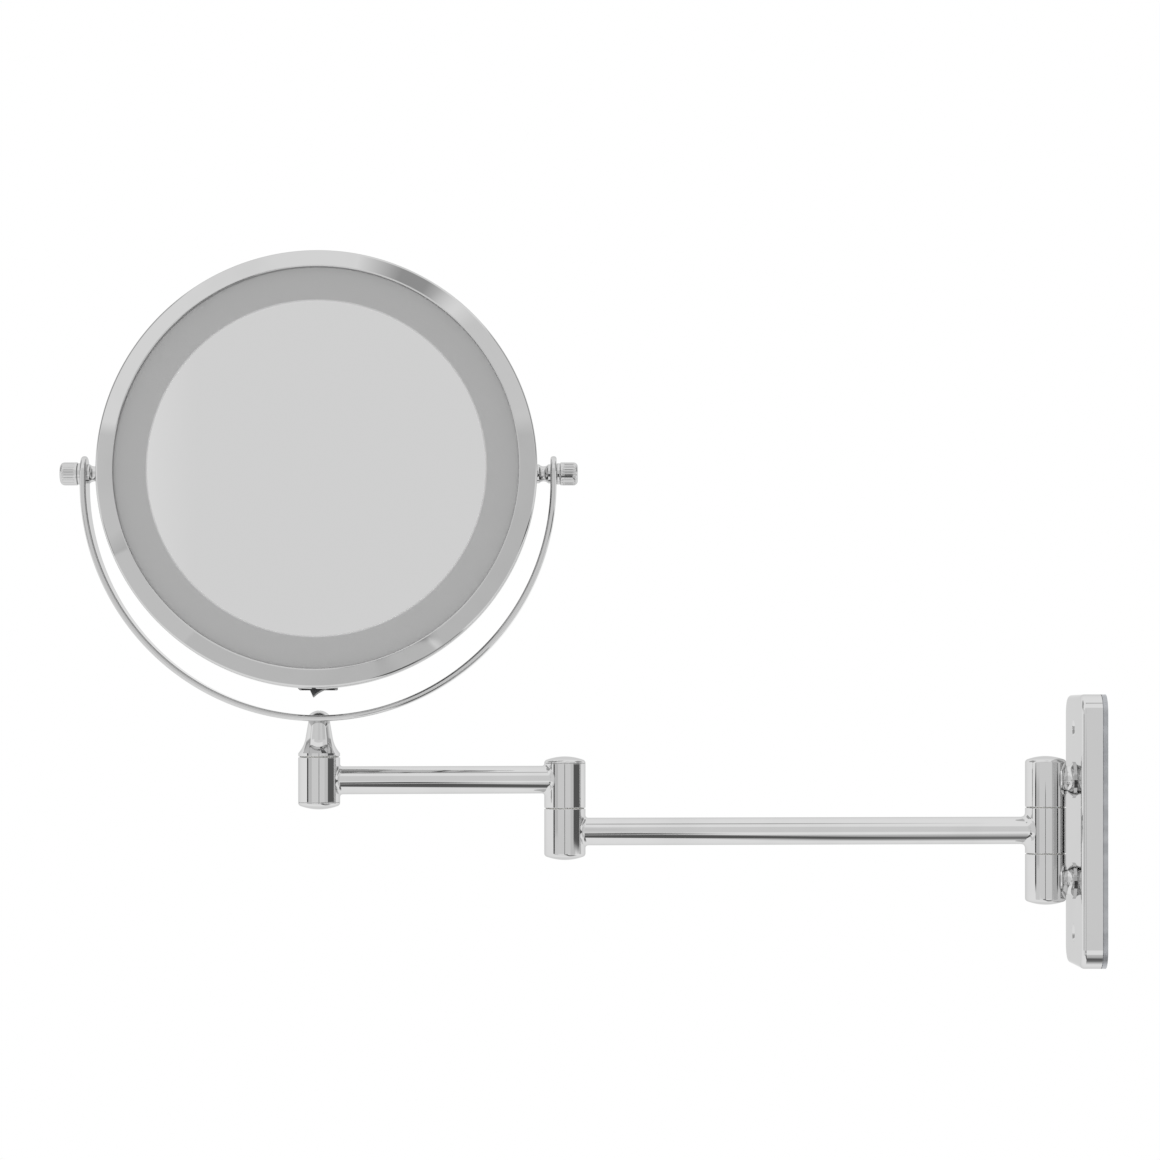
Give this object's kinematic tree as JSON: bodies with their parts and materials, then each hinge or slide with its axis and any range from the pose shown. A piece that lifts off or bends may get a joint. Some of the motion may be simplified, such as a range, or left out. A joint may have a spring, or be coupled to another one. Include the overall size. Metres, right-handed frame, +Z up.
{
  "type": "extendable shaving mirror",
  "caption": "Extendable wall shaving mirror: a round lit double-sided head tilts in a half-ring yoke on two folding tube arms and a screwed wall plate.",
  "frame": {"origin": "centre of the wall plate's back face, which rests on the wall", "axes": "+X into the wall, +Z up, the lit mirror face looks along -Y; the arms reach out along -X"},
  "size_m": [0.4764, 0.1026, 0.3258],
  "materials": {
    "chrome": "bright chrome plate",
    "steel": "zinc-plated",
    "nylon": "natural nylon",
    "white_plastic": "moulded, satin",
    "black_plastic": "moulded, fine texture",
    "mirror_glass": "silvered glass",
    "board": "white solder mask",
    "lamps": "clear resin over phosphor",
    "cell_jacket": "printed sleeve",
    "brass": "bright",
    "wire": "flexible insulation"
  },
  "bodies": {
    "wall_bracket": {"wall_base": "steel", "wall_cover": "chrome", "upper_wall_knuckle": "chrome", "lower_wall_knuckle": "chrome", "post_screws": "steel", "wall_hinge_pin": "steel", "wall_washers": "nylon"},
    "inner_arm": {"inner_hub": "chrome", "inner_tube": "chrome", "inner_wall_fillet": "chrome", "lower_elbow_fillet": "chrome", "elbow_lower_knuckle": "chrome", "elbow_pin": "steel", "elbow_washer": "nylon", "elbow_spring_washer": "steel", "elbow_screw": "steel"},
    "outer_arm": {"elbow_upper_knuckle": "chrome", "elbow_cap": "chrome", "outer_tube": "chrome", "upper_elbow_fillet": "chrome", "hub_fillet": "chrome", "end_hub": "chrome", "hub_cap": "chrome"},
    "yoke": {"neck": "chrome", "neck_spindle": "steel", "neck_washer": "nylon", "neck_spring_washer": "steel", "neck_retaining_screw": "steel", "yoke_strip": "chrome", "yoke_screw": "chrome"},
    "mirror_head": {"front_bezel": "chrome", "housing": "chrome", "back_bezel": "chrome", "front_glass": "mirror_glass", "diffuser_ring": "white_plastic", "lamp_board": "board", "lamps_set": "lamps", "carrier": "white_plastic", "carrier_screws": "steel", "battery_box": "black_plastic", "battery_cells": "cell_jacket", "battery_contacts": "steel", "battery_springs": "steel", "battery_lid": "black_plastic", "back_mirror": "mirror_glass", "pivot_studs": "steel", "pivot_spacers": "chrome", "pivot_collars": "chrome", "switch_body": "black_plastic", "switch_terminals": "brass", "rocker_pin": "steel", "inner_wires": "wire"},
    "left_knob": {"left_knob": "chrome"},
    "right_knob": {"right_knob": "chrome"},
    "rocker": {"switch_rocker": "black_plastic"}
  },
  "joints": [
    {"name": "wall_swing", "type": "hinge", "parent": "wall_bracket", "child": "inner_arm", "pos_m": [-0.025, 0, 0], "axis": [0, 0, 1], "range_deg": [-95, 85]},
    {"name": "elbow_swing", "type": "hinge", "parent": "inner_arm", "child": "outer_arm", "pos_m": [-0.24815, -0.01952, 0.0239], "axis": [0, 0, 1], "continuous": true},
    {"name": "neck_swivel", "type": "hinge", "parent": "outer_arm", "child": "yoke", "pos_m": [-0.35927, -0.04314, 0.03455], "axis": [0, 0, 1], "continuous": true},
    {"name": "head_tilt", "type": "hinge", "parent": "yoke", "child": "mirror_head", "pos_m": [-0.35927, -0.04314, 0.16265], "axis": [1, 0, 0], "continuous": true},
    {"name": "left_knob_turn", "type": "hinge", "parent": "mirror_head", "child": "left_knob", "pos_m": [-0.47127, -0.04314, 0.16265], "axis": [-1, 0, 0], "range_deg": [0, 360]},
    {"name": "right_knob_turn", "type": "hinge", "parent": "mirror_head", "child": "right_knob", "pos_m": [-0.24727, -0.04314, 0.16265], "axis": [1, 0, 0], "range_deg": [0, 360]},
    {"name": "rocker_switch", "type": "hinge", "parent": "mirror_head", "child": "rocker", "pos_m": [-0.35927, -0.0512, 0.0705], "axis": [0, -0.9962, 0.0872], "range_deg": [0, 26]}
  ]
}
